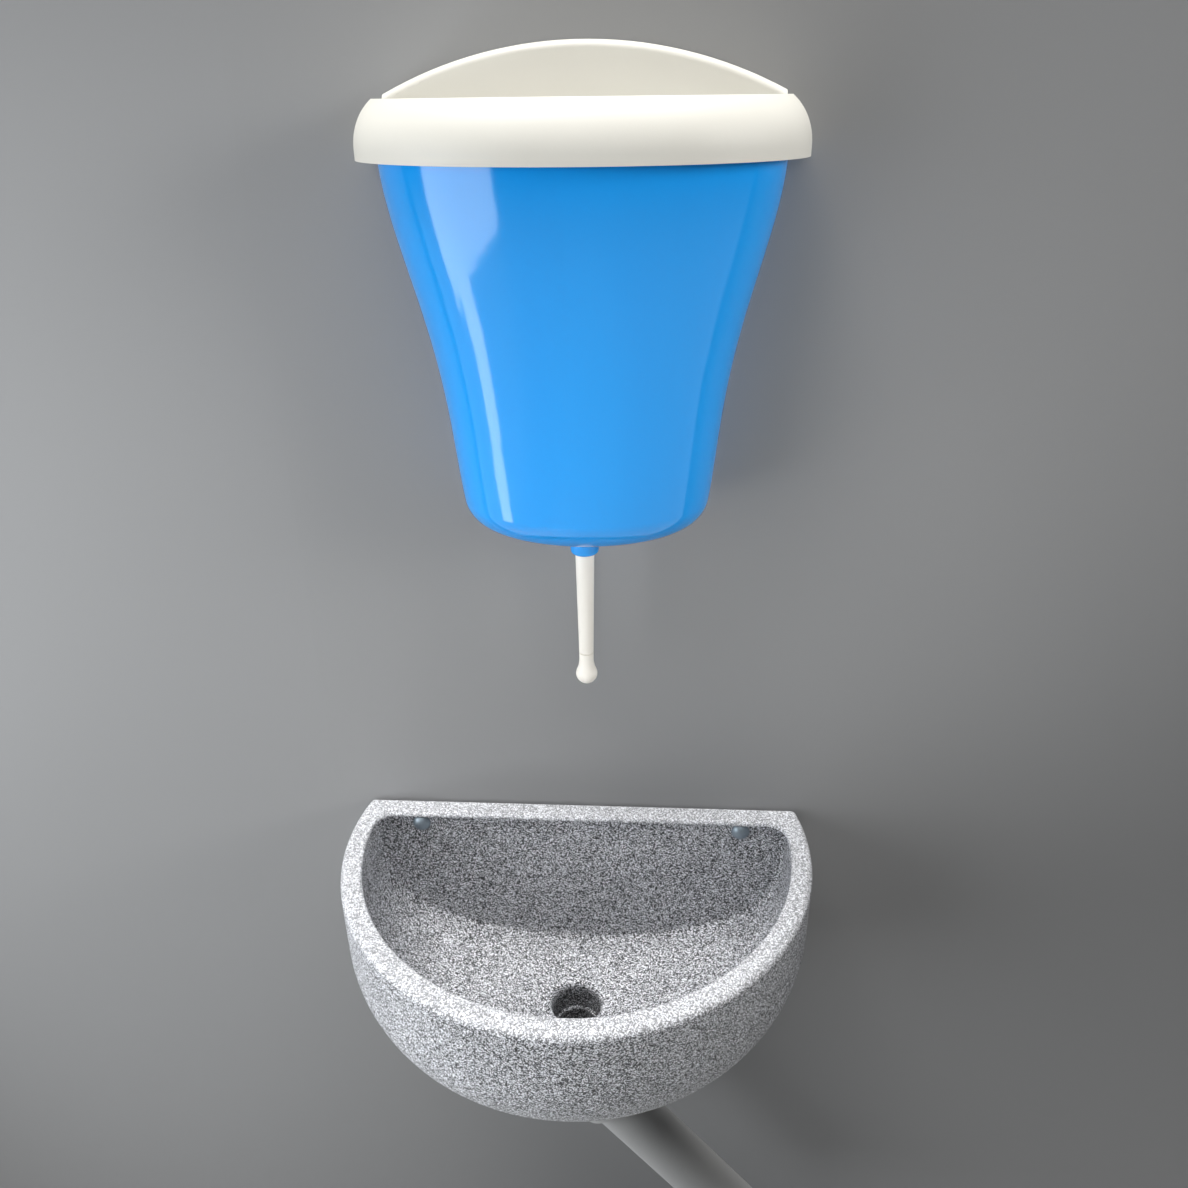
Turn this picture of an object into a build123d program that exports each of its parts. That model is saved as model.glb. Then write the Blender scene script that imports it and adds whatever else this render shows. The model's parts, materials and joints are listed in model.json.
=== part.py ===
from build123d import *
import os
from math import acos, cos, degrees, radians, sin, sqrt

# Wall-hung hand-wash station of an outdoor toilet cabin, in millimetres.
# X runs to the right, Y into the wall and Z up. The wall's surface is the plane Y = 0 and everything but
# the screws stands in front of it. The origin is on the wall, midway between the basin's two screws.

# Basin
basin_radius = 250.0          # outside of the half-round rim
basin_axis_offset = 65.0      # the rim's round axis, in front of the wall
basin_wall = 18.0             # round wall
basin_back_wall = 24.0        # flat wall that takes the screws
basin_depth = 185.0           # rim to the middle of the floor
basin_floor = 18.0            # floor thickness in the middle
dish_radius = 460.0           # the floor is a dish
underside_radius = 818.0      # and so, less deeply, is the underside
cavity_corner = 98.0          # large inside round from the wall into the floor
bowl_corner = 118.0           # and outside
cavity_back_round = 7.0       # inside round along the back wall
back_edge_round = 5.0         # outside round where the basin meets the wall
rim_lip = 4.0                 # how far the rim overhangs the inner walls
rim_lip_height = 4.5
rim_outer_round = 8.0
rim_inner_round = 3.5
mouth_corner = 22.0           # back corners of the rim's opening

# Basin outlet and waste pipe
drain_offset = 118.0          # drain axis, in front of the wall
drain_diameter = 54.0
drain_round = 8.0
ledge_drop = 37.0             # ledge in the drain, below the middle of the floor
outlet_diameter = 46.0        # below the ledge
sump_radius = 120.0           # shallow hollow round the drain, so that the drain is lowest
sump_drop = 4.0               # bottom of that hollow below the middle of the floor
sump_cut_radius = 75.0        # how far out the hollow's spherical cut is taken
pipe_diameter = 63.0          # also the outlet neck under the basin
pipe_wall = 3.0
pipe_length = 300.0
pipe_chamfer = 3.0            # along the pipe
pipe_chamfer_depth = 1.8
neck_length = 44.0
bend_angle = 37.0             # turn of the elbow, away from straight down
bend_radius = 60.0
bend_drop = 37.0              # neck end to the bend's corner
bend_run = 26.0               # bend's corner to the lower socket
socket_length = 36.0
socket_wall = 3.2
socket_clearance = 0.4        # between a spigot and its socket, all round
spigot_gap = 2.0              # left behind the end of a spigot
groove_from_mouth = 6.0       # seal groove inside a socket
groove_width = 8.0
groove_depth = 4.0
seal_clearance = 0.05
depth_mark_width = 2.0        # ring cut in the pipe, to show how far it goes in
depth_mark_depth = 0.4

# Basin screws
screw_head_gap = 0.5          # between a screw head and the rim's lip above it
screw_from_corner = 49.0      # screw axis to the cavity's side, along the back wall
screw_diameter = 8.0          # over the thread
screw_shank_diameter = 7.2    # plain part between the thread and the head
screw_hole_clearance = 0.4
screw_reach = 30.0            # thread past the wall's surface
screw_head_diameter = 20.0
screw_head_height = 6.0
screw_head_round = 5.1
screw_washer_thickness = 1.5
screw_tip = 2.5

# Tank
tank_shift = 14.5             # the tank's centre line, right of the basin's
tank_above_screws = 381.0     # underside of the tank above the basin screws
tank_height = 335.0
tank_wall = 3.0
tank_corner = 40.0            # back corners in plan, and the centre of the half-elliptic front
tank_mouth_half_width = 162.0
tank_mouth_depth = 148.0
tank_foot_half_width = 108.0
tank_foot_depth = 127.0
tank_bottom_round = 28.0
tank_lip_width = 5.0
tank_lip_height = 4.0
# S-shaped flare: share of the height, share of the widening from foot to mouth
tank_flare = ((0.0, 0.0), (0.24, 0.2), (0.51, 0.46), (0.72, 0.79), (1.0, 1.0))

# Hanger plate and its wall screws
hanger_thickness = 4.0
hanger_setback = 0.5          # plate off the wall
hanger_round = 1.0
hanger_margin = 28.0          # plate beyond the screws
hanger_overlap = 40.0         # plate down the tank's back
hanger_screw_offset = 90.0    # screw axis from the tank's centre line
hanger_screw_rise = 22.0      # screw axis above the tank's rim
hanger_screw_diameter = 5.0
hanger_shank_diameter = 4.4
hanger_screw_reach = 30.0
hanger_head_diameter = 10.0
hanger_head_height = 3.2
hanger_head_round = 1.9
hanger_screw_tip = 1.6
keyhole_drop = 13.0           # slot end to the round entry below it
keyhole_clearance = 0.3
keyhole_entry_clearance = 0.9

# Lid
lid_overhang = 17.5           # skirt outside the tank's mouth
lid_wall = 2.5
lid_skirt_drop = 26.0         # skirt below the tank's rim
lid_skirt_straight = 8.0
lid_ridge_rise = 17.0         # ridge of the roll above the tank's rim
lid_roll_inset = 16.8         # ridge inside the skirt
lid_ridge_width = 4.0
lid_rib_depth = 6.0           # locating rib inside the tank's mouth
lid_rib_thickness = 2.0
lid_rib_clearance = 1.0
upstand_depth = 21.0
upstand_rise = 40.0           # arch above the ridge
upstand_end_rise = 2.5        # arch above the ridge at its ends
upstand_round = 6.0
upstand_clearance = 4.0       # hanger plate inside the hollow upstand

# Plunger and valve
plunger_offset = 76.0         # plunger axis, in front of the wall
spigot_diameter = 28.5
spigot_length = 19.0
spigot_taper = 4.0
spigot_round = 3.4
rod_top_diameter = 17.3
rod_end_diameter = 13.8
rod_clearance = 0.6           # water gap round the rod in the spigot
rod_joint_drop = 124.0        # tank underside to the joint above the ball
rod_joint_bevel = 0.9         # makes the joint's line round the rod
ball_diameter = 20.7
ball_drop = 23.0              # joint to the ball's centre
ball_flare = 30.0
ball_stem_diameter = 7.0
ball_stem_length = 12.0
valve_diameter = 36.0
valve_thickness = 5.0
valve_dome_round = 3.5
seal_thickness = 3.0
seal_bore_clearance = 0.2
valve_screw_diameter = 4.0
valve_screw_length = 18.0
valve_screw_head_diameter = 8.0
valve_screw_head_height = 2.8
valve_screw_head_round = 1.7

# Levels and places that follow from the sizes above
rim_z = rim_lip_height + screw_head_gap + screw_head_diameter / 2
floor_z = rim_z - basin_depth
underside_z = floor_z - basin_floor
neck_end_z = underside_z - neck_length
sump_centre_z = floor_z - sump_drop + sump_radius
sump_edge_z = sump_centre_z - sqrt(sump_radius**2 - sump_cut_radius**2)
drain_radius = drain_diameter / 2
drain_mouth_z = sump_centre_z - sqrt(sump_radius**2 - drain_radius**2)
ledge_z = floor_z - ledge_drop
rim_axis_y = -basin_axis_offset
drain_y = -drain_offset
cavity_radius = basin_radius - basin_wall
cavity_top_z = rim_z - rim_lip_height
cavity_half_width = sqrt(cavity_radius**2 - (basin_axis_offset - basin_back_wall) ** 2)
screw_x = cavity_half_width - screw_from_corner
screw_places = [(-screw_x, 0), (screw_x, 0)]
tank_base_z = tank_above_screws
tank_rim_z = tank_base_z + tank_height
tank_floor_z = tank_base_z + tank_wall
ridge_z = tank_rim_z + lid_ridge_rise
hanger_screw_z = tank_rim_z + hanger_screw_rise
hanger_places = [(-hanger_screw_offset, hanger_screw_z), (hanger_screw_offset, hanger_screw_z)]
plunger_y = -plunger_offset
tank_plan = Plane((tank_shift, 0, 0))
tank_front = Plane((tank_shift, 0, 0), x_dir=(1, 0, 0), z_dir=(0, -1, 0))
tank_side = Plane((tank_shift, 0, 0), x_dir=(0, 1, 0), z_dir=(1, 0, 0))
past_cut = 20.0               # how far a cutting shape runs past what it cuts
to_front = (Align.CENTER, Align.MAX)


def d_face(half_width, depth, corner, inset=0.0):
    """A D in plan: straight back on the wall, two round back corners and a half-elliptic front."""
    reach = half_width - inset
    radius = corner - inset
    flat = reach - radius
    with BuildSketch() as outline:
        with BuildLine():
            Line((flat, -inset), (-flat, -inset))
            CenterArc((-flat, -corner), radius, 90, 90)
            EllipticalCenterArc((0, -corner), reach, depth - corner - inset, 180, arc_size=180)
            CenterArc((flat, -corner), radius, 0, 90)
        make_face()
    return outline.sketch


def tank_body(inset, bottom_z, bottom_round):
    """The tank's flared body up to its rim, drawn in from the outside by inset."""
    with BuildPart() as body:
        for height_share, width_share in tank_flare:
            half_width = tank_foot_half_width + (tank_mouth_half_width - tank_foot_half_width) * width_share
            depth = tank_foot_depth + (tank_mouth_depth - tank_foot_depth) * width_share
            level = bottom_z + (tank_rim_z - bottom_z) * height_share
            with BuildSketch(tank_plan.offset(level)):
                add(d_face(half_width, depth, tank_corner, inset))
        loft()
        fillet(body.faces().sort_by(Axis.Z)[0].edges(), bottom_round)
    return body.part


def bowl_body(radius, top_z, bottom_z, dish, corner):
    """A round bowl about the rim's axis: an upright wall, a large round and a shallow dish."""
    dish_edge_z = bottom_z + dish - sqrt(dish**2 - radius**2)
    with BuildPart() as body:
        with BuildSketch(Plane((0, rim_axis_y, 0), x_dir=(1, 0, 0), z_dir=(0, -1, 0))) as profile:
            with BuildLine():
                Polyline((0, bottom_z), (0, top_z), (radius, top_z), (radius, dish_edge_z))
                RadiusArc((radius, dish_edge_z), (0, bottom_z), dish)
            make_face()
            fillet(profile.vertices().sort_by(Axis.X)[-2:].sort_by(Axis.Y)[0], corner)
        revolve(axis=Axis((0, rim_axis_y, 0), (0, 0, 1)))
    return body.part


os.makedirs("parts", exist_ok=True)

# Basin bowl: the outer bowl, less its cavity, mouth, drain and screw holes
with BuildPart() as bowl_cavity:
    add(bowl_body(cavity_radius, cavity_top_z, floor_z, dish_radius, cavity_corner))
    split(bisect_by=Plane.XZ.offset(basin_back_wall), keep=Keep.TOP)
    cavity_back = bowl_cavity.faces().filter_by(Plane.XZ).sort_by(Axis.Y)[-1]
    fillet(cavity_back.edges().sort_by(Axis.Z)[:-1], cavity_back_round)

with BuildPart() as basin_bowl:
    add(bowl_body(basin_radius, rim_z, underside_z, underside_radius, bowl_corner))
    split(bisect_by=Plane.XZ, keep=Keep.TOP)
    wall_face = basin_bowl.faces().filter_by(Plane.XZ).sort_by(Axis.Y)[-1]
    fillet(wall_face.edges().sort_by(Axis.Z)[:-1], back_edge_round)
    with BuildSketch(Plane.XY.offset(neck_end_z)):
        with Locations((0, drain_y)):
            Circle(pipe_diameter / 2)
    extrude(amount=neck_length + basin_floor / 2)
    add(bowl_cavity.part, mode=Mode.SUBTRACT)
    with BuildSketch(Plane.XY.offset(rim_z)) as mouth:
        with Locations((0, rim_axis_y)):
            Circle(cavity_radius - rim_lip)
        with Locations((0, -basin_back_wall - rim_lip)):
            Rectangle(2 * basin_radius, 2 * basin_radius, align=to_front, mode=Mode.INTERSECT)
        fillet(mouth.vertices(), mouth_corner)
    extrude(amount=-rim_lip_height - rim_lip, mode=Mode.SUBTRACT)
    rim = basin_bowl.faces().sort_by(Axis.Z)[-1]
    rim_outside = rim.outer_wire().edges().sort_by(Axis.Y)[:-1]
    rim_inside = rim.inner_wires()[0].edges()
    fillet(rim_outside, rim_outer_round)
    fillet(rim_inside, rim_inner_round)
    with BuildSketch(Plane((0, drain_y, 0), x_dir=(1, 0, 0), z_dir=(0, -1, 0))) as drain_cut:
        with BuildLine():
            Polyline(
                (drain_radius, drain_mouth_z),
                (drain_radius, ledge_z),
                (outlet_diameter / 2, ledge_z),
                (outlet_diameter / 2, neck_end_z),
                (0, neck_end_z),
                (0, sump_edge_z),
                (sump_cut_radius, sump_edge_z),
            )
            RadiusArc((sump_cut_radius, sump_edge_z), (drain_radius, drain_mouth_z), sump_radius)
        make_face()
        fillet(drain_cut.vertices().group_by(Axis.Y)[-2], drain_round)
    revolve(axis=Axis((0, drain_y, 0), (0, 0, 1)), mode=Mode.SUBTRACT)
    with BuildSketch(Plane.XZ):
        with Locations(*screw_places):
            Circle(screw_diameter / 2 + screw_hole_clearance)
    extrude(amount=basin_back_wall + past_cut, mode=Mode.SUBTRACT)
basin_bowl.part.label = "basin_bowl"
export_step(basin_bowl.part, "parts/basin_bowl.step")

# Basin screws and the washers under their domed heads
head_seat = basin_back_wall + screw_washer_thickness
with BuildPart() as basin_screws:
    with BuildSketch(Plane.XZ.offset(-screw_reach)):
        with Locations(*screw_places):
            Circle(screw_diameter / 2)
    extrude(amount=screw_reach)
    chamfer(basin_screws.faces().sort_by(Axis.Y)[-2:].edges(), screw_tip)
    with BuildSketch(Plane.XZ):
        with Locations(*screw_places):
            Circle(screw_shank_diameter / 2)
    extrude(amount=head_seat)
    with BuildSketch(Plane.XZ.offset(head_seat)):
        with Locations(*screw_places):
            Circle(screw_head_diameter / 2)
    extrude(amount=screw_head_height)
    fillet(basin_screws.faces().sort_by(Axis.Y)[:2].edges(), screw_head_round)
basin_screws.part.label = "basin_screws"
export_step(basin_screws.part, "parts/basin_screws.step")

with BuildPart() as basin_screw_washers:
    with BuildSketch(Plane.XZ.offset(basin_back_wall)):
        with Locations(*screw_places):
            Circle(screw_head_diameter / 2)
            Circle(screw_diameter / 2 + screw_hole_clearance, mode=Mode.SUBTRACT)
    extrude(amount=screw_washer_thickness)
basin_screw_washers.part.label = "basin_screw_washers"
export_step(basin_screw_washers.part, "parts/basin_screw_washers.step")

# Drain elbow: a bent tube with a push-fit socket on each end, one round the basin's neck
pipe_radius = pipe_diameter / 2
bore_radius = pipe_radius - pipe_wall
socket_radius = pipe_radius + socket_clearance
groove_radius = socket_radius + groove_depth
bend_z = neck_end_z - bend_drop
bend_corner = Vector(0, drain_y, bend_z)
run_direction = Vector(sin(radians(bend_angle)), 0, -cos(radians(bend_angle)))
upper_shoulder = Vector(0, drain_y, neck_end_z - spigot_gap)
lower_shoulder = bend_corner + run_direction * bend_run
upper_plane = Plane(upper_shoulder, x_dir=(1, 0, 0), z_dir=(0, 0, 1))
lower_plane = Plane(lower_shoulder, x_dir=(0, 1, 0), z_dir=run_direction)
groove_start = socket_length - groove_from_mouth - groove_width

with BuildPart() as drain_elbow:
    with BuildLine() as bend_line:
        FilletPolyline(upper_shoulder, bend_corner, lower_shoulder, radius=bend_radius)
    with BuildSketch(upper_plane):
        Circle(pipe_radius)
    sweep(path=bend_line.line)
    for plane in (upper_plane, lower_plane):
        with BuildSketch(plane.offset(-socket_wall)):
            Circle(socket_radius + socket_wall)
        extrude(amount=socket_length + socket_wall)
        with BuildSketch(plane.offset(groove_start - socket_wall)):
            Circle(groove_radius + socket_wall)
        extrude(amount=groove_width + 2 * socket_wall)
    for plane in (upper_plane, lower_plane):
        with BuildSketch(plane):
            Circle(socket_radius)
        extrude(amount=socket_length, mode=Mode.SUBTRACT)
        with BuildSketch(plane.offset(groove_start)):
            Circle(groove_radius)
        extrude(amount=groove_width, mode=Mode.SUBTRACT)
    with BuildSketch(upper_plane):
        Circle(bore_radius)
    sweep(path=bend_line.line, mode=Mode.SUBTRACT)
drain_elbow.part.label = "drain_elbow"
export_step(drain_elbow.part, "parts/drain_elbow.step")

# Rubber rings in the elbow's two grooves
for seal_name, plane in (("outlet_seal", upper_plane), ("pipe_seal", lower_plane)):
    with BuildPart() as seal:
        with BuildSketch(plane.offset(groove_start + seal_clearance)):
            Circle(groove_radius - seal_clearance)
            Circle(pipe_radius + seal_clearance, mode=Mode.SUBTRACT)
        extrude(amount=groove_width - 2 * seal_clearance)
    seal.part.label = seal_name
    export_step(seal.part, f"parts/{seal_name}.step")

# Waste pipe, with its insertion mark just outside the socket
with BuildPart() as drain_pipe:
    with BuildSketch(lower_plane.offset(spigot_gap)):
        Circle(pipe_radius)
        Circle(bore_radius, mode=Mode.SUBTRACT)
    extrude(amount=pipe_length)
    pipe_end = drain_pipe.faces().sort_by(Axis.Z)[0]
    chamfer(pipe_end.outer_wire().edges(), pipe_chamfer, pipe_chamfer_depth)
    with BuildSketch(lower_plane.offset(socket_length + depth_mark_width)):
        Circle(pipe_radius + pipe_wall)
        Circle(pipe_radius - depth_mark_depth, mode=Mode.SUBTRACT)
    extrude(amount=depth_mark_width, mode=Mode.SUBTRACT)
drain_pipe.part.label = "drain_pipe"
export_step(drain_pipe.part, "parts/drain_pipe.step")

# Lid profile and the arch of its upstand, which the hanger plate follows inside
lid_half_width = tank_mouth_half_width + lid_overhang
lid_depth = tank_mouth_depth + lid_overhang
roll_start_z = tank_rim_z - lid_skirt_drop + lid_skirt_straight
roll_rise = ridge_z - roll_start_z
roll_radius = (roll_rise**2 + lid_roll_inset**2) / (2 * lid_roll_inset)
tray_wall_inset = lid_roll_inset + lid_ridge_width
upstand_half_width = lid_half_width - lid_roll_inset
arch_height = upstand_rise - upstand_end_rise
arch_radius = (upstand_half_width**2 + arch_height**2) / (2 * arch_height)
arch_centre_z = ridge_z + upstand_rise - arch_radius


def arch_block(setback, depth, radius, half_width, bottom_z, front_round):
    """An upright arched slab, setback in front of the wall, with a rounded front edge along its arch."""
    with BuildPart() as block:
        with BuildSketch(tank_side) as section:
            with Locations((-setback, arch_centre_z)):
                Rectangle(depth, radius, align=(Align.MAX, Align.MIN))
            fillet(section.vertices().group_by(Axis.Y)[-1].sort_by(Axis.X)[0], front_round)
        revolve(axis=Axis((tank_shift, 0, arch_centre_z), (0, 1, 0)))
        with Locations((tank_shift, 0, bottom_z)):
            foot = (Align.CENTER, Align.CENTER, Align.MIN)
            Box(2 * half_width, 2 * radius, 2 * radius, align=foot, mode=Mode.INTERSECT)
    return block.part


# Tank shell: flared body with a lip, an outlet spigot and a hanger plate with two keyholes
spigot_bore = rod_top_diameter / 2 + rod_clearance
hanger_half_width = hanger_screw_offset + hanger_margin
hanger_arch_radius = arch_radius - lid_wall - upstand_clearance
slot_radius = hanger_screw_diameter / 2 + keyhole_clearance
entry_radius = hanger_head_diameter / 2 + keyhole_entry_clearance
hanger_front = hanger_setback + hanger_thickness

with BuildPart() as tank_shell:
    add(tank_body(0.0, tank_base_z, tank_bottom_round))
    with BuildSketch(tank_plan.offset(tank_rim_z)):
        add(d_face(tank_mouth_half_width + tank_lip_width, tank_mouth_depth + tank_lip_width, tank_corner))
        with Locations((0, -upstand_depth)):
            Rectangle(2 * lid_half_width, 2 * lid_depth, align=to_front, mode=Mode.INTERSECT)
    extrude(amount=-tank_lip_height)
    with BuildSketch(tank_plan.offset(tank_floor_z)):
        with Locations((0, plunger_y)):
            Circle(spigot_diameter / 2)
    extrude(amount=-spigot_length - tank_wall, taper=spigot_taper)
    fillet(tank_shell.faces().sort_by(Axis.Z)[0].edges(), spigot_round)
    add(tank_body(tank_wall, tank_floor_z, tank_bottom_round - tank_wall), mode=Mode.SUBTRACT)
    with BuildSketch(tank_plan.offset(tank_floor_z)):
        with Locations((0, plunger_y)):
            Circle(spigot_bore)
    extrude(amount=-spigot_length - tank_wall - past_cut, mode=Mode.SUBTRACT)
    hanger_foot_z = tank_rim_z - hanger_overlap
    add(
        arch_block(
            hanger_setback,
            hanger_thickness,
            hanger_arch_radius,
            hanger_half_width,
            hanger_foot_z,
            hanger_round,
        )
    )
    with BuildSketch(tank_front.offset(hanger_setback)):
        for place_x, place_z in hanger_places:
            with Locations((place_x, place_z)):
                Circle(slot_radius)
            with Locations((place_x, place_z - keyhole_drop / 2)):
                Rectangle(2 * slot_radius, keyhole_drop)
            with Locations((place_x, place_z - keyhole_drop)):
                Circle(entry_radius)
    extrude(amount=hanger_thickness, mode=Mode.SUBTRACT)
tank_shell.part.label = "tank_shell"
export_step(tank_shell.part, "parts/tank_shell.step")

# Wall screws that the keyholes hang on
with BuildPart() as tank_screws:
    with BuildSketch(tank_front.offset(-hanger_screw_reach)):
        with Locations(*hanger_places):
            Circle(hanger_screw_diameter / 2)
    extrude(amount=hanger_screw_reach)
    chamfer(tank_screws.faces().sort_by(Axis.Y)[-2:].edges(), hanger_screw_tip)
    with BuildSketch(tank_front):
        with Locations(*hanger_places):
            Circle(hanger_shank_diameter / 2)
    extrude(amount=hanger_front)
    with BuildSketch(tank_front.offset(hanger_front)):
        with Locations(*hanger_places):
            Circle(hanger_head_diameter / 2)
    extrude(amount=hanger_head_height)
    fillet(tank_screws.faces().sort_by(Axis.Y)[:2].edges(), hanger_head_round)
tank_screws.part.label = "tank_screws"
export_step(tank_screws.part, "parts/tank_screws.step")

# Lid: hollow roll round the front and sides, a tray floor on the tank's rim and a hollow arched upstand
with BuildPart() as lid:
    with BuildLine(tank_plan) as skirt_line:
        Line((lid_half_width, 0), (lid_half_width, -tank_corner))
        EllipticalCenterArc((0, -tank_corner), lid_half_width, lid_depth - tank_corner, 0, arc_size=-180)
        Line((-lid_half_width, -tank_corner), (-lid_half_width, 0))
    with BuildSketch(Plane((tank_shift + lid_half_width, 0, 0), x_dir=(1, 0, 0), z_dir=(0, -1, 0))):
        inner_wall = lid_wall - tray_wall_inset
        inner_turn = degrees(acos((roll_radius + inner_wall) / (roll_radius - lid_wall)))
        with BuildLine():
            skirt_foot = tank_rim_z - lid_skirt_drop
            Polyline((-lid_wall, roll_start_z), (-lid_wall, skirt_foot), (0, skirt_foot), (0, roll_start_z))
            TangentArc((0, roll_start_z), (-lid_roll_inset, ridge_z), tangent=(0, 1))
            inner_roll = CenterArc((-roll_radius, roll_start_z), roll_radius - lid_wall, 0, inner_turn)
            Polyline(
                (-lid_roll_inset, ridge_z),
                (-tray_wall_inset, ridge_z),
                (-tray_wall_inset, tank_rim_z),
                (inner_wall, tank_rim_z),
                inner_roll @ 1,
            )
        make_face()
    sweep(path=skirt_line.line)
    hollow_depth = upstand_depth - lid_wall
    floor_inset = tray_wall_inset - lid_wall / 2
    floor_half_width = lid_half_width - floor_inset
    floor_reach = lid_depth - tank_corner - floor_inset
    with BuildSketch(tank_plan.offset(tank_rim_z)):
        with BuildLine():
            EllipticalCenterArc((0, -tank_corner), floor_half_width, floor_reach, 0, arc_size=-180)
            Polyline(
                (-floor_half_width, -tank_corner),
                (-floor_half_width, -hollow_depth),
                (floor_half_width, -hollow_depth),
                (floor_half_width, -tank_corner),
            )
        make_face()
    extrude(amount=lid_wall)
    rib_inset = lid_overhang + tank_wall + lid_rib_clearance
    with BuildSketch(tank_plan.offset(tank_rim_z)):
        add(d_face(lid_half_width, lid_depth, tank_corner, rib_inset))
        add(d_face(lid_half_width, lid_depth, tank_corner, rib_inset + lid_rib_thickness), mode=Mode.SUBTRACT)
        with Locations((0, -tank_corner)):
            Rectangle(2 * lid_half_width, 2 * lid_depth, align=to_front, mode=Mode.INTERSECT)
    extrude(amount=-lid_rib_depth)
    upstand_half = lid_half_width - tray_wall_inset
    add(arch_block(0.0, upstand_depth, arch_radius, upstand_half + lid_wall, tank_rim_z, upstand_round))
    hollow_radius = arch_radius - lid_wall
    hollow_foot_z = tank_rim_z - past_cut
    hollow_round = upstand_round - lid_wall
    add(
        arch_block(0.0, hollow_depth, hollow_radius, upstand_half, hollow_foot_z, hollow_round),
        mode=Mode.SUBTRACT,
    )
lid.part.label = "lid"
export_step(lid.part, "parts/lid.step")

# Plunger: tapered rod through the spigot, ball tip below, valve head and seal on the tank's floor
spigot_end_z = tank_base_z - spigot_length
seal_top_z = tank_floor_z + seal_thickness
valve_top_z = seal_top_z + valve_thickness
rod_joint_z = tank_base_z - rod_joint_drop
ball_z = rod_joint_z - ball_drop
plunger_plane = tank_front.offset(plunger_offset)
plunger_axis = Axis((tank_shift, plunger_y, 0), (0, 0, 1))

with BuildPart() as plunger_rod:
    with BuildSketch(plunger_plane):
        with BuildLine():
            Polyline(
                (0, rod_joint_z),
                (rod_end_diameter / 2 - rod_joint_bevel, rod_joint_z),
                (rod_end_diameter / 2, rod_joint_z + rod_joint_bevel),
                (rod_top_diameter / 2, spigot_end_z),
                (rod_top_diameter / 2, seal_top_z),
                (0, seal_top_z),
                close=True,
            )
        make_face()
    revolve(axis=plunger_axis)
    with BuildSketch(tank_plan.offset(rod_joint_z)):
        with Locations((0, plunger_y)):
            Circle(ball_stem_diameter / 2)
    extrude(amount=ball_stem_length + spigot_gap, mode=Mode.SUBTRACT)
    with BuildSketch(tank_plan.offset(seal_top_z)):
        with Locations((0, plunger_y)):
            Circle(valve_screw_diameter / 2)
    extrude(amount=valve_thickness - valve_screw_length - spigot_gap, mode=Mode.SUBTRACT)
plunger_rod.part.label = "plunger_rod"
export_step(plunger_rod.part, "parts/plunger_rod.step")

with BuildPart() as plunger_ball:
    with Locations((tank_shift, plunger_y, ball_z)):
        Sphere(ball_diameter / 2)
    with BuildSketch(tank_plan.offset(rod_joint_z)):
        with Locations((0, plunger_y)):
            Circle(rod_end_diameter / 2)
    extrude(amount=-ball_drop)
    neck_foot = plunger_ball.edges().filter_by(GeomType.CIRCLE).group_by(Axis.Z)[-2]
    fillet(neck_foot, ball_flare)
    with BuildSketch(tank_plan.offset(rod_joint_z)):
        with Locations((0, plunger_y)):
            Circle(ball_stem_diameter / 2)
    extrude(amount=ball_stem_length)
plunger_ball.part.label = "plunger_ball"
export_step(plunger_ball.part, "parts/plunger_ball.step")

with BuildPart() as valve_seal:
    with BuildSketch(tank_plan.offset(tank_floor_z)):
        with Locations((0, plunger_y)):
            Circle(valve_diameter / 2)
            Circle(rod_top_diameter / 2 + seal_bore_clearance, mode=Mode.SUBTRACT)
    extrude(amount=seal_thickness)
valve_seal.part.label = "valve_seal"
export_step(valve_seal.part, "parts/valve_seal.step")

with BuildPart() as valve_head:
    with BuildSketch(tank_plan.offset(seal_top_z)):
        with Locations((0, plunger_y)):
            Circle(valve_diameter / 2)
            Circle(valve_screw_diameter / 2, mode=Mode.SUBTRACT)
    extrude(amount=valve_thickness)
    crown = valve_head.faces().sort_by(Axis.Z)[-1]
    fillet(crown.outer_wire().edges(), valve_dome_round)
valve_head.part.label = "valve_head"
export_step(valve_head.part, "parts/valve_head.step")

with BuildPart() as valve_screw:
    with BuildSketch(tank_plan.offset(valve_top_z)):
        with Locations((0, plunger_y)):
            Circle(valve_screw_diameter / 2)
    extrude(amount=-valve_screw_length)
    with BuildSketch(tank_plan.offset(valve_top_z)):
        with Locations((0, plunger_y)):
            Circle(valve_screw_head_diameter / 2)
    extrude(amount=valve_screw_head_height)
    fillet(valve_screw.faces().sort_by(Axis.Z)[-1].edges(), valve_screw_head_round)
valve_screw.part.label = "valve_screw"
export_step(valve_screw.part, "parts/valve_screw.step")
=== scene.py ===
"""The wall-hung hand-wash station: finishes, stage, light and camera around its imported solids. Metres."""
import json

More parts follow.
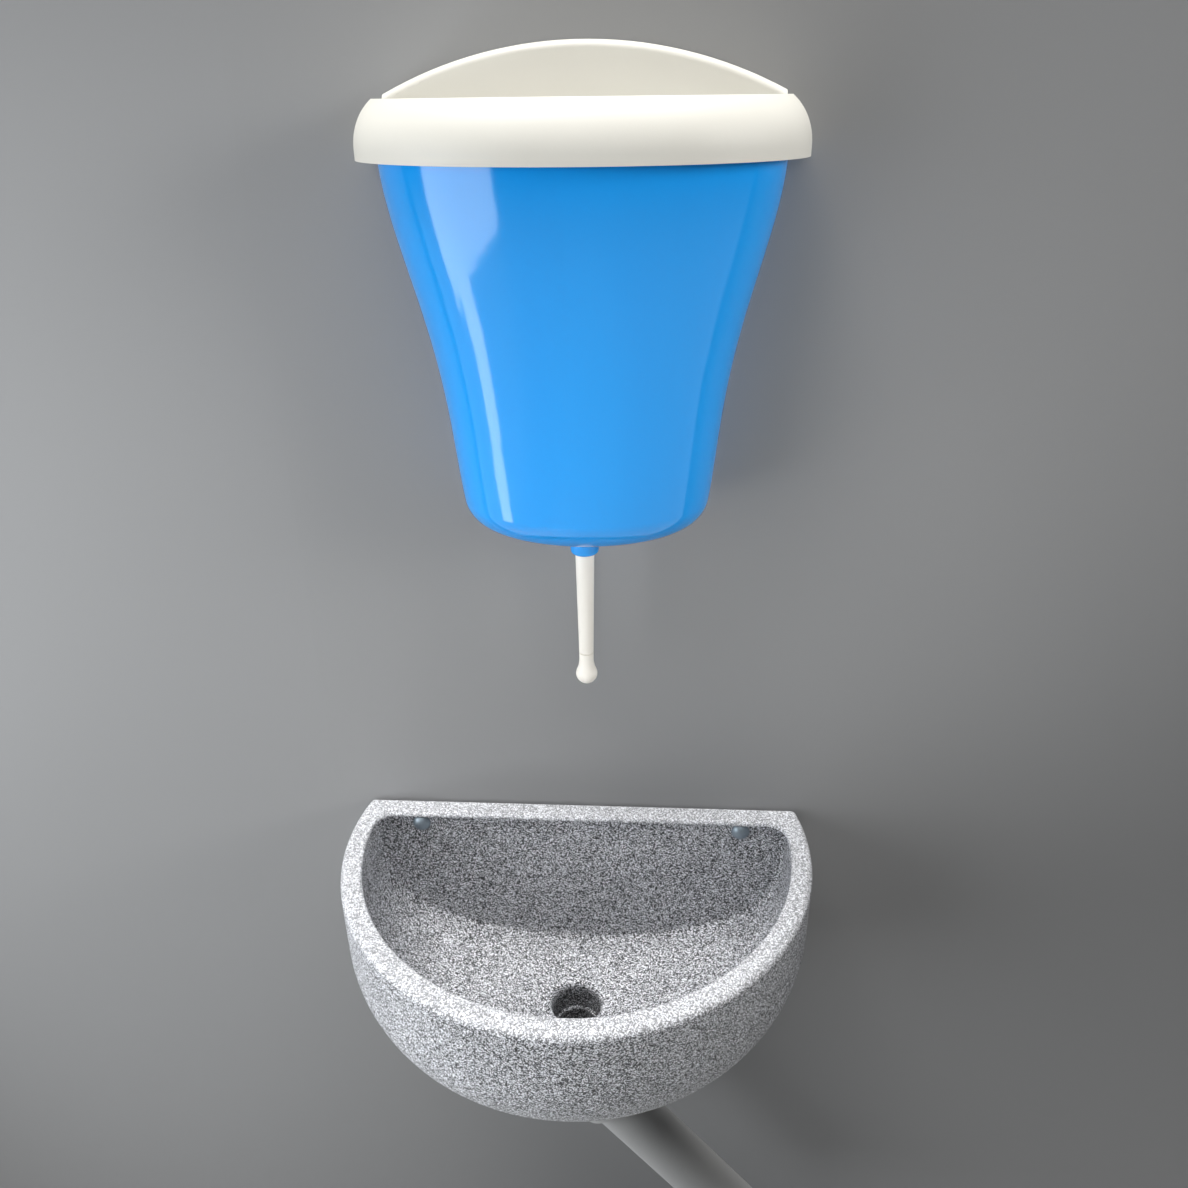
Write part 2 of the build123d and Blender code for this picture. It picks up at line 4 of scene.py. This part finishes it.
import bpy
import numpy as np
from mathutils import Matrix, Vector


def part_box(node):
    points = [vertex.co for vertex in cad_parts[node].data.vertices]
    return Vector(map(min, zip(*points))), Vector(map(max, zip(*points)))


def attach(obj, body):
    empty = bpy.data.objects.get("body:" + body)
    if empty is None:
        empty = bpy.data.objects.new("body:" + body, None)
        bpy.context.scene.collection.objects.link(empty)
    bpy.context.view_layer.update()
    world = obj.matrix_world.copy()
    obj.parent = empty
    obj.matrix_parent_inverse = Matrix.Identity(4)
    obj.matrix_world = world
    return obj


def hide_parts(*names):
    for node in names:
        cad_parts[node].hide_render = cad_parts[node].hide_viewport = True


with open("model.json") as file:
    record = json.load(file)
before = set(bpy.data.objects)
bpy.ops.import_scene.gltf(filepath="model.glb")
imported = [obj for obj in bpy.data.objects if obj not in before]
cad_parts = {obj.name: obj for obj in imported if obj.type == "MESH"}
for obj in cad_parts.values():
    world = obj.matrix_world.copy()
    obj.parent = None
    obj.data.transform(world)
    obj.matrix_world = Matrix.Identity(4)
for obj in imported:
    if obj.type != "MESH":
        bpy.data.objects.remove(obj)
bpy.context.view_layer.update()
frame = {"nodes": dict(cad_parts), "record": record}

# Camera, fitted to the photograph: place, angles and focal length
camera_place = (0.07328, -0.89414, 0.73293)
camera_pitch = np.radians(26.76)      # down
camera_roll = np.radians(-0.688)
camera_yaw = np.radians(-3.555)
focal_pixels = 987.07
image_pixels = 1188.0
sensor_width = 36.0

# Stage
wall_y = 0.002                # just behind the flat backs of the basin and the tank
floor_z = -0.82
floor_reach = 16.0
wall_reach = 5.0
wall_height = 4.0
wall_level = 0.26             # greys of the paint
floor_level = 0.75

# Basin's finish: the depths below the rim's top where it changes, and its shares of grains, painted light on
# the rim and painted shade in the drain
rim_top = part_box("basin_bowl")[1][2]
# painted light on the rim: the depths below the rim's top where it starts and where it is full
rim_light_start = 0.009
rim_light_full = 0.0015
# painted shade in the drain: the depths below the rim's top where it starts and where it is full
drain_shade_start = 0.193
drain_shade_full = 0.201
coarse_share = 0.6
fine_share = 0.4
cloud_share = 0.08
# share of the painted shade that darkens the drain's bore
drain_shade_share = 0.14
# share of the painted light that pales the rim
rim_light_share = 0.36

# Wall screws: their meshes' fineness, and shares of the head's or the thread's radius
wall_surface = 0.0            # y where the threads start
dome_rings = 14
rings_per_turn = 14
points_around = 28
head_edge_share = 0.96
thread_depth_share = 0.24
point_length_share = 2.2
sharp_angle = np.radians(38.0)

# Light
warm_white = (1.0, 0.995, 0.985)
cool_white = (0.93, 0.965, 1.0)
surround_colour = (0.86, 0.9, 0.95, 1.0)
surround_strength = 0.03


class Value:
    """A shader value: Python's operators on it add Math nodes to its material."""

    def __init__(self, finish, socket):
        self.finish = finish
        self.socket = socket

    def math(self, operation, first, second):
        return self.finish.node("ShaderNodeMath", {"operation": operation}, {0: first, 1: second})

    def __add__(self, other):
        return self.math("ADD", self, other)

    def __radd__(self, other):
        return self.math("ADD", other, self)

    def __sub__(self, other):
        return self.math("SUBTRACT", self, other)

    def __rsub__(self, other):
        return self.math("SUBTRACT", other, self)

    def __mul__(self, other):
        return self.math("MULTIPLY", self, other)

    def __rmul__(self, other):
        return self.math("MULTIPLY", other, self)


class Finish:
    """A material with its node tree, built up from Object coordinates."""

    def __init__(self, name):
        self.material = bpy.data.materials.new(name)
        self.material.use_nodes = True
        self.tree = self.material.node_tree
        self.tree.nodes.clear()
        self.place = self.node("ShaderNodeTexCoord", out="Object")

    def node(self, kind, settings=None, inputs=None, out=0):
        """Adds a node: its settings first, then the values or links of its sockets; gives one output."""
        made = self.tree.nodes.new(kind)
        for key, value in (settings or {}).items():
            if key == "stops":
                elements = made.color_ramp.elements
                while len(elements) < len(value):
                    elements.new(1.0)
                for element, (position, colour) in zip(elements, value):
                    element.position = position
                    element.color = colour
            else:
                setattr(made, key, value)
        for key, value in (inputs or {}).items():
            if isinstance(value, Value):
                self.tree.links.new(value.socket, made.inputs[key])
            else:
                made.inputs[key].default_value = value
        return Value(self, made.outputs[out]) if len(made.outputs) else made

    def noise(self, scale, detail, roughness=0.5, place=None):
        """Fractal noise from 0 to 1, with scale waves to the metre."""
        sockets = {"Vector": place or self.place, "Scale": scale, "Detail": detail, "Roughness": roughness}
        return self.node("ShaderNodeTexNoise", None, sockets)

    def stretched(self, scale):
        """Object coordinates over a scale for each axis, so that a pattern on them is that much longer."""
        sockets = {"Vector": self.place, "Scale": scale}
        return self.node("ShaderNodeMapping", {"vector_type": "TEXTURE"}, sockets)

    def grains(self, scale):
        """A random number from 0 to 1 for each Voronoi cell, with scale cells to the metre."""
        cells = self.node("ShaderNodeTexVoronoi", None, {"Vector": self.place, "Scale": scale}, out="Color")
        return self.node("ShaderNodeSeparateColor", None, {0: cells})

    def axis(self, name):
        """One Object coordinate, in metres."""
        return self.node("ShaderNodeSeparateXYZ", None, {0: self.place}, out=name)

    def step(self, value, low, high):
        """A smooth step from 0 at low to 1 at high."""
        sockets = {"Value": value, "From Min": low, "From Max": high}
        return self.node("ShaderNodeMapRange", {"interpolation_type": "SMOOTHSTEP"}, sockets)

    def mix(self, share, first, second):
        """A colour between two; 6 and 7 are the Mix node's colour sockets and 2 is its colour output."""
        return self.node("ShaderNodeMix", {"data_type": "RGBA"}, {0: share, 6: first, 7: second}, out=2)

    def ramp(self, value, stops):
        """A colour for each value, in straight lines between stops of a position and a colour."""
        return self.node("ShaderNodeValToRGB", {"stops": stops}, {0: value})

    def bump(self, height, distance, strength):
        """A normal tilted by a height that varies over the surface, as much as distance in metres."""
        sockets = {"Height": height, "Distance": distance, "Strength": strength}
        return self.node("ShaderNodeBump", None, sockets)

    def shade(self, **sockets):
        """Joins a Principled shader, with its sockets named with _ for spaces, to the output."""
        named = {key.replace("_", " "): value for key, value in sockets.items()}
        shader = self.node("ShaderNodeBsdfPrincipled", None, named)
        self.node("ShaderNodeOutputMaterial", None, {"Surface": shader})
        return self.material


def grey(level, tint=(1.0, 1.0, 1.0)):
    """An opaque colour: a grey level times a tint."""
    return (level * tint[0], level * tint[1], level * tint[2], 1.0)


def granite():
    """Stone-effect basin: near-black, grey and near-white grains.

    Grains of two sizes and a slow cloud are added up, and a ramp turns the sum to black, grey or white.
    Smooth steps of the height paint the rim pale, standing in for the light that falls on it, and paint the
    drain's bore dark, standing in for the shade down the hole.
    """
    finish = Finish("granite_grains")
    height = finish.axis("Z")
    coarse = finish.grains(scale=980.0)
    fine = finish.grains(scale=1480.0)
    cloud = finish.noise(scale=9.0, detail=4.0)
    # painted light: the rim's top is painted paler, standing in for the light that falls on it
    painted_rim_light = finish.step(height, rim_top - rim_light_start, rim_top - rim_light_full)
    # painted shade: the drain's bore is painted darker, standing in for the shade down the hole
    painted_drain_shade = finish.step(height, rim_top - drain_shade_start, rim_top - drain_shade_full)
    grains = coarse * coarse_share + fine * fine_share
    pick = grains + (cloud - 0.5) * cloud_share - painted_drain_shade * drain_shade_share
    stops = (
        (0.0, grey(0.004)),
        (0.42, grey(0.012)),
        (0.52, grey(0.2, (0.95, 0.975, 1.06))),
        (0.61, grey(0.72, (0.965, 0.98, 1.04))),
        (0.69, grey(0.95, (0.975, 0.985, 1.02))),
    )
    # painted light: the pale stone that the lit rim is painted with
    lit_rim_stone = grey(0.58, (0.985, 0.99, 1.02))
    return finish.shade(
        Base_Color=finish.mix(painted_rim_light * rim_light_share, finish.ramp(pick, stops), lit_rim_stone),
        Roughness=0.62 - fine * 0.16,
        Normal=finish.bump(pick, distance=0.0003, strength=0.35),
    )


def blue_plastic():
    """Glossy moulded blue under a thin clear coat, with faint upright flow streaks and a slight waviness."""
    finish = Finish("tank_blue")
    upright = finish.stretched((1.0, 1.0, 9.0))
    streaks = finish.noise(scale=9.0, detail=4.0, roughness=0.55, place=upright)
    haze = finish.noise(scale=26.0, detail=5.0, roughness=0.6)
    waves = finish.noise(scale=38.0, detail=2.0)
    return finish.shade(
        Base_Color=finish.mix(streaks, (0.002, 0.3, 0.84, 1.0), (0.006, 0.355, 0.92, 1.0)),
        Roughness=0.06 + haze * 0.08,
        Normal=finish.bump(waves, distance=0.0006, strength=0.2),
        Coat_Weight=0.2,
        Coat_Roughness=0.04,
    )


def white_plastic(name, low, high, roughness):
    """Semi-gloss moulded white: a slow drift between two whites and a fine satin grain."""
    finish = Finish(name)
    drift = finish.noise(scale=12.0, detail=4.0)
    grain = finish.noise(scale=900.0, detail=2.0)
    return finish.shade(
        Base_Color=finish.mix(drift, low, high),
        Roughness=roughness + drift * 0.08,
        Normal=finish.bump(grain, distance=0.00008, strength=0.3),
    )


def grey_pipe():
    """Plain grey waste pipe: dull, with a slow drift of its grey and faint scuffs."""
    finish = Finish("pipe_grey")
    scuff = finish.noise(scale=60.0, detail=6.0, roughness=0.7)
    drift = finish.noise(scale=8.0, detail=3.0)
    return finish.shade(
        Base_Color=finish.mix(drift * 0.6 + scuff * 0.4, grey(0.32), grey(0.45, (1.0, 1.0, 0.98))),
        Roughness=0.42 + scuff * 0.2,
        Normal=finish.bump(scuff, distance=0.0002, strength=0.2),
    )


def dull_zinc():
    """Zinc-plated steel: bluish grey, with a fine mottle."""
    finish = Finish("dull_zinc")
    mottle = finish.noise(scale=420.0, detail=4.0, roughness=0.6)
    return finish.shade(
        Base_Color=finish.mix(mottle, (0.22, 0.27, 0.31, 1.0), (0.36, 0.42, 0.47, 1.0)),
        Metallic=0.75,
        Roughness=0.34 + mottle * 0.18,
    )


def black_rubber():
    """Matt black rubber with a fine bloom."""
    finish = Finish("seal_rubber")
    bloom = finish.noise(scale=300.0, detail=4.0)
    return finish.shade(
        Base_Color=finish.mix(bloom, grey(0.012), grey(0.035)),
        Roughness=0.62 + bloom * 0.2,
    )


def stage_paint(name, level, roughness, see_through_from_behind=False):
    """Plain paint for the stage; a wall can be left invisible from behind."""
    finish = Finish(name)
    sockets = {"Base Color": grey(level), "Roughness": roughness}
    paint = finish.node("ShaderNodeBsdfPrincipled", None, sockets)
    if see_through_from_behind:
        from_behind = finish.node("ShaderNodeNewGeometry", out="Backfacing")
        clear = finish.node("ShaderNodeBsdfTransparent")
        paint = finish.node("ShaderNodeMixShader", None, {0: from_behind, 1: paint, 2: clear})
    finish.node("ShaderNodeOutputMaterial", None, {"Surface": paint})
    return finish.material


def stage_plane(name, corners, material):
    """A flat four-cornered stage piece."""
    mesh = bpy.data.meshes.new(name)
    mesh.from_pydata(corners, [], [(0, 1, 2, 3)])
    mesh.materials.append(material)
    plane = bpy.data.objects.new(name, mesh)
    bpy.context.scene.collection.objects.link(plane)
    return plane


def soft_light(name, place, target, size, power, colour=(1.0, 1.0, 1.0), spread=180.0, glossy=True):
    """A rectangular soft light at a place, turned to a target, with its light held to a spread in degrees.

    Its own axes are a level side, an upward side and the line back from the target.
    A light that isn't glossy shows in no reflection.
    """
    lamp = bpy.data.lights.new(name, "AREA")
    lamp.shape = "RECTANGLE"
    lamp.size = size[0]
    lamp.size_y = size[1]
    lamp.energy = power
    lamp.color = colour
    lamp.spread = np.radians(spread)
    light = bpy.data.objects.new(name, lamp)
    bpy.context.scene.collection.objects.link(light)
    back = np.array(place, float) - np.array(target, float)
    back /= np.linalg.norm(back)
    side = np.cross((0.0, 0.0, 1.0), back)
    side /= np.linalg.norm(side)
    turn = np.eye(4)
    turn[:3, 0] = side
    turn[:3, 1] = np.cross(back, side)
    turn[:3, 2] = back
    turn[:3, 3] = place
    light.matrix_world = Matrix(turn.tolist())
    light.visible_camera = False
    light.visible_glossy = glossy


def closed_tube(rings, first, last):
    """A tube's points, quads and triangles: rings joined by quads, and a fan from each end to a pole."""
    count, around = rings.shape[:2]
    points = np.concatenate([rings.reshape(-1, 3), [first, last]])
    start = np.arange(count - 1)[:, None] * around
    here = np.arange(around)
    after = np.roll(here, -1)
    quads = np.stack([start + here, start + around + here, start + around + after, start + after], -1)
    end = (count - 1) * around
    first_pole = np.full(around, count * around)
    first_fan = np.stack([first_pole, here, after], -1)
    last_fan = np.stack([first_pole + 1, end + after, end + here], -1)
    return points, quads.reshape(-1, 4), np.concatenate([first_fan, last_fan])


def dome_screw(head_radius, head_top, head_foot, shank_radius, thread_start, thread_radius, tip, pitch):
    """A dome-head screw along +Y, as rings about its axis.

    The head is a cap of a sphere from its top to its foot. Along the thread the radius falls from the crest
    by the thread's depth times a triangular wave of y over the pitch less the angle's share of a turn, so
    that the crest climbs one pitch in a turn, and the last stretch narrows to the tip.
    """
    rise = head_foot - head_top
    ball_radius = (head_radius ** 2 + rise ** 2) / (2 * rise)
    cap = np.linspace(0.0, np.arcsin(head_radius / ball_radius), dome_rings + 1)[1:]
    steps = int(np.ceil((tip - thread_start) / pitch * rings_per_turn))
    thread = np.linspace(thread_start, tip, steps)[1:-1]
    dome_y = head_top + ball_radius * (1.0 - np.cos(cap))
    y = np.concatenate([dome_y, [head_foot, head_foot, thread_start], thread])
    smooth_radius = np.concatenate(
        [
            ball_radius * np.sin(cap),
            [head_edge_share * head_radius, shank_radius, shank_radius],
            np.full(len(thread), thread_radius),
        ]
    )
    angle = np.linspace(0.0, 2.0 * np.pi, points_around, endpoint=False)
    run_in = np.clip((y - thread_start) / pitch, 0.0, 1.0)
    narrowing = np.clip((tip - y) / (point_length_share * thread_radius), 0.0, 1.0)
    phase = (y[:, None] / pitch - angle / (2.0 * np.pi)) % 1.0
    wave = np.abs(2.0 * phase - 1.0) * run_in[:, None]
    radius = (smooth_radius[:, None] - thread_depth_share * thread_radius * wave) * narrowing[:, None]
    along = np.broadcast_to(y[:, None], radius.shape)
    rings = np.stack([radius * np.cos(angle), along, radius * np.sin(angle)], -1)
    return closed_tube(rings, (0.0, head_top, 0.0), (0.0, tip, 0.0))


def wall_screws(name, node, head_rise, shank_radius, thread_radius, pitch, material):
    """Two like screws on a level line in place of a node of the station, as large as the node's box says."""
    low, high = (np.array(corner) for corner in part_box(node))
    head_radius = 0.5 * (high[2] - low[2])
    head_top = low[1]
    head_foot = head_top + head_rise
    tip = high[1]
    points, quads, fans = dome_screw(
        head_radius, head_top, head_foot, shank_radius, wall_surface, thread_radius, tip, pitch
    )
    left = np.array([low[0] + head_radius, 0.0, low[2] + head_radius])
    right = np.array([high[0] - head_radius, 0.0, low[2] + head_radius])
    faces = []
    for first_point in (0, len(points)):
        faces += (first_point + quads).tolist() + (first_point + fans).tolist()
    mesh = bpy.data.meshes.new(name)
    mesh.from_pydata(np.concatenate([points + left, points + right]).tolist(), [], faces)
    mesh.shade_smooth()
    mesh.set_sharp_from_angle(angle=sharp_angle)
    mesh.materials.append(material)
    pair = bpy.data.objects.new(name, mesh)
    bpy.context.scene.collection.objects.link(pair)
    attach(pair, "station")
    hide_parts(node)


# Finishes of the solids
finishes = {
    "basin": granite(),
    "tank": blue_plastic(),
    "lid": white_plastic("lid_white", (0.6, 0.582, 0.527, 1.0), (0.636, 0.622, 0.567, 1.0), 0.4),
    "plunger": white_plastic("plunger_cream", (0.9, 0.855, 0.77, 1.0), (0.95, 0.91, 0.83, 1.0), 0.34),
    "waste_pipe": grey_pipe(),
    "screws": dull_zinc(),
    "seals": black_rubber(),
}
for row in frame["record"]["subparts"]:
    node = frame["nodes"][row["node"]]
    node.material_slots[0].material = finishes[row["material_slot"]]

# Wall screws with their threads
wall_screws(
    "basin_dome_screws",
    "basin_screws",
    head_rise=0.006,
    shank_radius=0.0036,
    thread_radius=0.004,
    pitch=0.0032,
    material=finishes["screws"],
)
wall_screws(
    "tank_dome_screws",
    "tank_screws",
    head_rise=0.0032,
    shank_radius=0.0022,
    thread_radius=0.0025,
    pitch=0.0022,
    material=finishes["screws"],
)

# Stage: a plain grey wall that the station hangs on and a plain pale floor; neither bounces diffuse light
wall = stage_plane(
    "stage_wall",
    [
        (-wall_reach, wall_y, floor_z),
        (wall_reach, wall_y, floor_z),
        (wall_reach, wall_y, wall_height),
        (-wall_reach, wall_y, wall_height),
    ],
    stage_paint("stage_wall_grey", wall_level, roughness=0.5, see_through_from_behind=True),
)
wall.visible_shadow = False
wall.visible_diffuse = False
floor = stage_plane(
    "stage_floor",
    [
        (-floor_reach, -floor_reach, floor_z),
        (floor_reach, -floor_reach, floor_z),
        (floor_reach, floor_reach, floor_z),
        (-floor_reach, floor_reach, floor_z),
    ],
    stage_paint("stage_floor_pale", floor_level, roughness=0.6),
)
floor.visible_diffuse = False

# Surround
world = bpy.data.worlds.new("soft_surround")
world.use_nodes = True
background = world.node_tree.nodes["Background"]
background.inputs["Color"].default_value = surround_colour
background.inputs["Strength"].default_value = surround_strength
bpy.context.scene.world = world

# Soft lights: name, place, target, size, watts
soft_light("top_left", (-1.8, -0.7, 7.0), (-1.3, -0.5, 0.0), (3.7, 3.2), 620.0, warm_white)
soft_light("top_right", (1.8, -0.7, 7.0), (1.3, -0.5, 0.0), (3.7, 3.2), 250.0, warm_white)
soft_light("left_high", (-1.2, -1.0, 0.525), (0.0, -1.0, 0.525), (1.3, 0.85), 14.2, cool_white)
soft_light("left_strip", (-1.2, -0.6, -0.125), (0.0, -0.6, -0.125), (0.26, 0.45), 1.6, cool_white)
soft_light(
    "left_low", (-1.2, -1.0, -0.125), (0.0, -1.0, -0.125), (1.3, 0.45), 12.0, cool_white, glossy=False
)
soft_light("right_side", (1.6, -0.7, 1.0), (0.1, -0.08, 0.62), (0.8, 0.9), 1.9, spread=40.0, glossy=False)
soft_light("front", (0.1, -2.3, 0.9), (0.02, 0.0, 0.44), (0.8, 0.6), 0.31, spread=20.0, glossy=False)
soft_light("low_front", (0.1, -2.3, -0.2), (0.05, 0.0, 0.05), (0.8, 0.4), 0.18, spread=28.0, glossy=False)
soft_light("behind", (0.4, 2.2, 0.9), (0.0, 0.0, 0.2), (1.6, 1.6), 30.0, glossy=False)

# Camera: rolled about its line of sight, then pitched down, then turned about the upright
pitch_cos, pitch_sin = np.cos(camera_pitch), np.sin(camera_pitch)
roll_cos, roll_sin = np.cos(camera_roll), np.sin(camera_roll)
yaw_cos, yaw_sin = np.cos(camera_yaw), np.sin(camera_yaw)
rolled = np.array([[roll_cos, 0, -roll_sin], [0, 1, 0], [roll_sin, 0, roll_cos]])
pitched = np.array([[1, 0, 0], [0, pitch_cos, pitch_sin], [0, -pitch_sin, pitch_cos]])
yawed = np.array([[yaw_cos, yaw_sin, 0], [-yaw_sin, yaw_cos, 0], [0, 0, 1]])
right, ahead, up = (yawed @ pitched @ rolled).T
view = np.eye(4)
view[:3, 0] = right
view[:3, 1] = up
view[:3, 2] = -ahead
view[:3, 3] = camera_place
lens = bpy.data.cameras.new("camera")
lens.sensor_width = sensor_width
lens.lens = focal_pixels * sensor_width / image_pixels
camera = bpy.data.objects.new("camera", lens)
bpy.context.scene.collection.objects.link(camera)
camera.matrix_world = Matrix(view.tolist())
bpy.context.scene.camera = camera
bpy.context.scene.view_settings.view_transform = "Standard"
